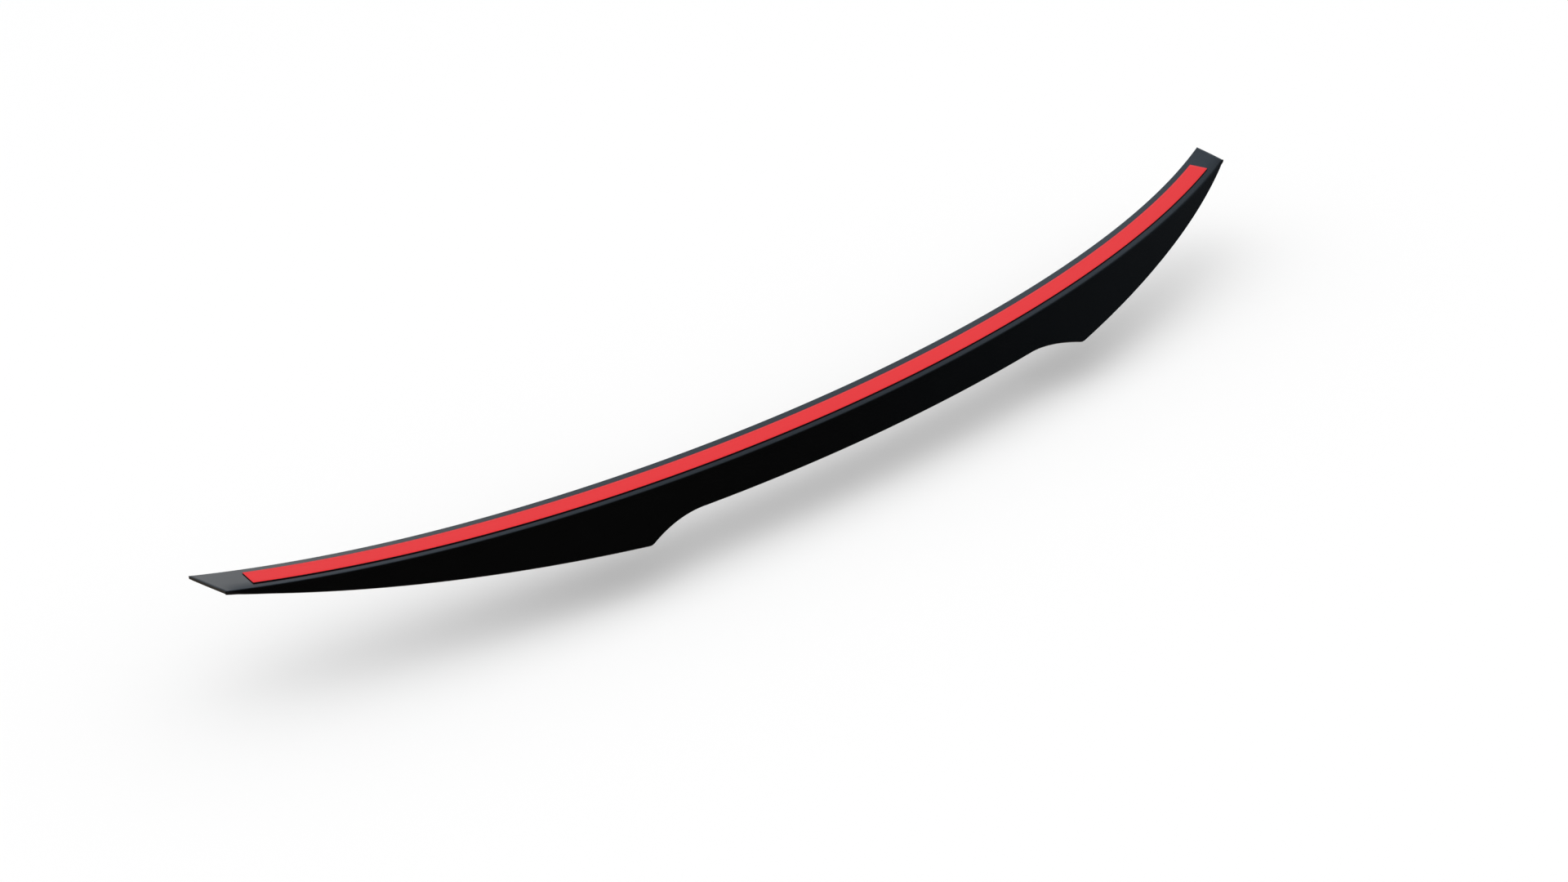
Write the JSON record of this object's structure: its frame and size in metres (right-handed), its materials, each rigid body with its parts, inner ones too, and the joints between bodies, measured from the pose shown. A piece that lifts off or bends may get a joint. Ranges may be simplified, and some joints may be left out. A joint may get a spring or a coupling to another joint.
{
  "type": "boot lid lip spoiler",
  "caption": "Slim stick-on boot lid lip: a bent glossy sheet with an upswept, notched blade, a foam tape strip along its flange and a peel-off release liner.",
  "frame": {"origin": "middle of the bonding face, on the outside of the release liner, at mid-length", "axes": "+X along the length, +Z out of the bonding face, -Y toward the blade, which is the rear of the car once fitted"},
  "size_m": [1.2794, 0.1762, 0.0627],
  "materials": {
    "gloss_abs": "polished black thermoformed ABS",
    "acrylic_foam": "matt dark grey closed-cell foam",
    "red_liner": "smooth red polyethylene film"
  },
  "bodies": {
    "lip": {"abs_shell": "gloss_abs", "foam_tape": "acrylic_foam"},
    "liner": {"release_liner": "red_liner"}
  },
  "joints": [
    {"name": "liner_lift", "type": "slide", "parent": "lip", "child": "liner", "axis": [0, 0, 1], "range_m": [0, 0.12]}
  ]
}
